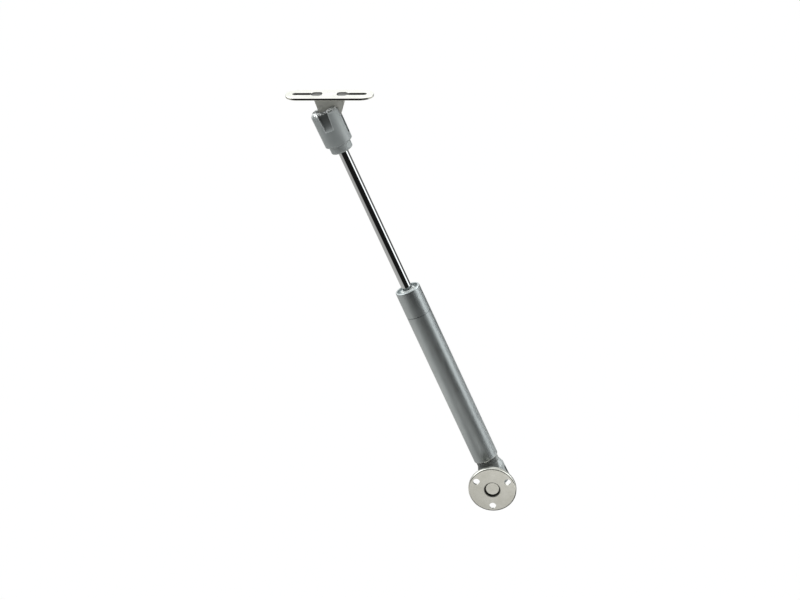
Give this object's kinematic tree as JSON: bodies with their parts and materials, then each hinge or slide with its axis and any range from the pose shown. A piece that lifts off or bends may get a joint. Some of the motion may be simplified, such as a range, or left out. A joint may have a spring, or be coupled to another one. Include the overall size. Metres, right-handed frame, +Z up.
{
  "type": "gas spring lid stay",
  "caption": "Gas spring lid stay: chrome rod sliding in a grey tube, moulded pivot heads, a round screw-on cabinet plate and a slotted oblong door plate.",
  "frame": {"origin": "middle of the round cabinet plate's outer face, which lies on the cabinet's side wall", "axes": "-Y out of the cabinet plate into the wall, +X along the door plate, +Z up, out of the door plate's face"},
  "size_m": [0.1267, 0.0267, 0.2569],
  "materials": {
    "nickel_plate": "nickel plated, satin",
    "grey_paint": "satin grey paint",
    "grey_plastic": "satin moulded",
    "rod_chrome": "hard chrome, polished",
    "inner_steel": "turned",
    "seal_rubber": "moulded",
    "bearing_plastic": "turned",
    "wiper_plastic": "moulded"
  },
  "bodies": {
    "cabinet_bracket": {"cabinet_plate": "nickel_plate", "cabinet_stud": "nickel_plate"},
    "cylinder": {"lower_socket": "grey_plastic", "cylinder_tube": "grey_paint", "end_plug": "inner_steel", "end_plug_seal": "seal_rubber", "collar": "grey_paint", "wiper_ring": "wiper_plastic", "rod_guide": "bearing_plastic", "rod_seal": "seal_rubber", "support_washer": "inner_steel", "retaining_ring": "inner_steel"},
    "piston_seal": {"piston_ring": "bearing_plastic"},
    "rod": {"piston_rod": "rod_chrome", "piston_washer": "inner_steel", "piston": "inner_steel", "piston_nut": "inner_steel", "upper_socket": "grey_plastic"},
    "door_bracket": {"door_plate": "nickel_plate", "door_lug": "nickel_plate", "door_pin": "nickel_plate"}
  },
  "joints": [
    {"name": "lower_pivot", "type": "hinge", "parent": "cabinet_bracket", "child": "cylinder", "pos_m": [0, 0.0184, 0], "axis": [0, 1, 0], "continuous": true},
    {"name": "rod_stroke", "type": "slide", "parent": "cylinder", "child": "piston_seal", "axis": [-0.3633, 0, 0.9317], "range_m": [-0.08, 0], "stiffness_N_per_m": 350, "springref_m": 0.28},
    {"name": "rod_turn", "type": "hinge", "parent": "piston_seal", "child": "rod", "pos_m": [0, 0.0184, 0], "axis": [-0.3633, 0, 0.9317], "continuous": true},
    {"name": "upper_pivot", "type": "hinge", "parent": "rod", "child": "door_bracket", "pos_m": [-0.08711, 0.0184, 0.22342], "axis": [0, 1, 0], "range_deg": [-106, 63]}
  ]
}
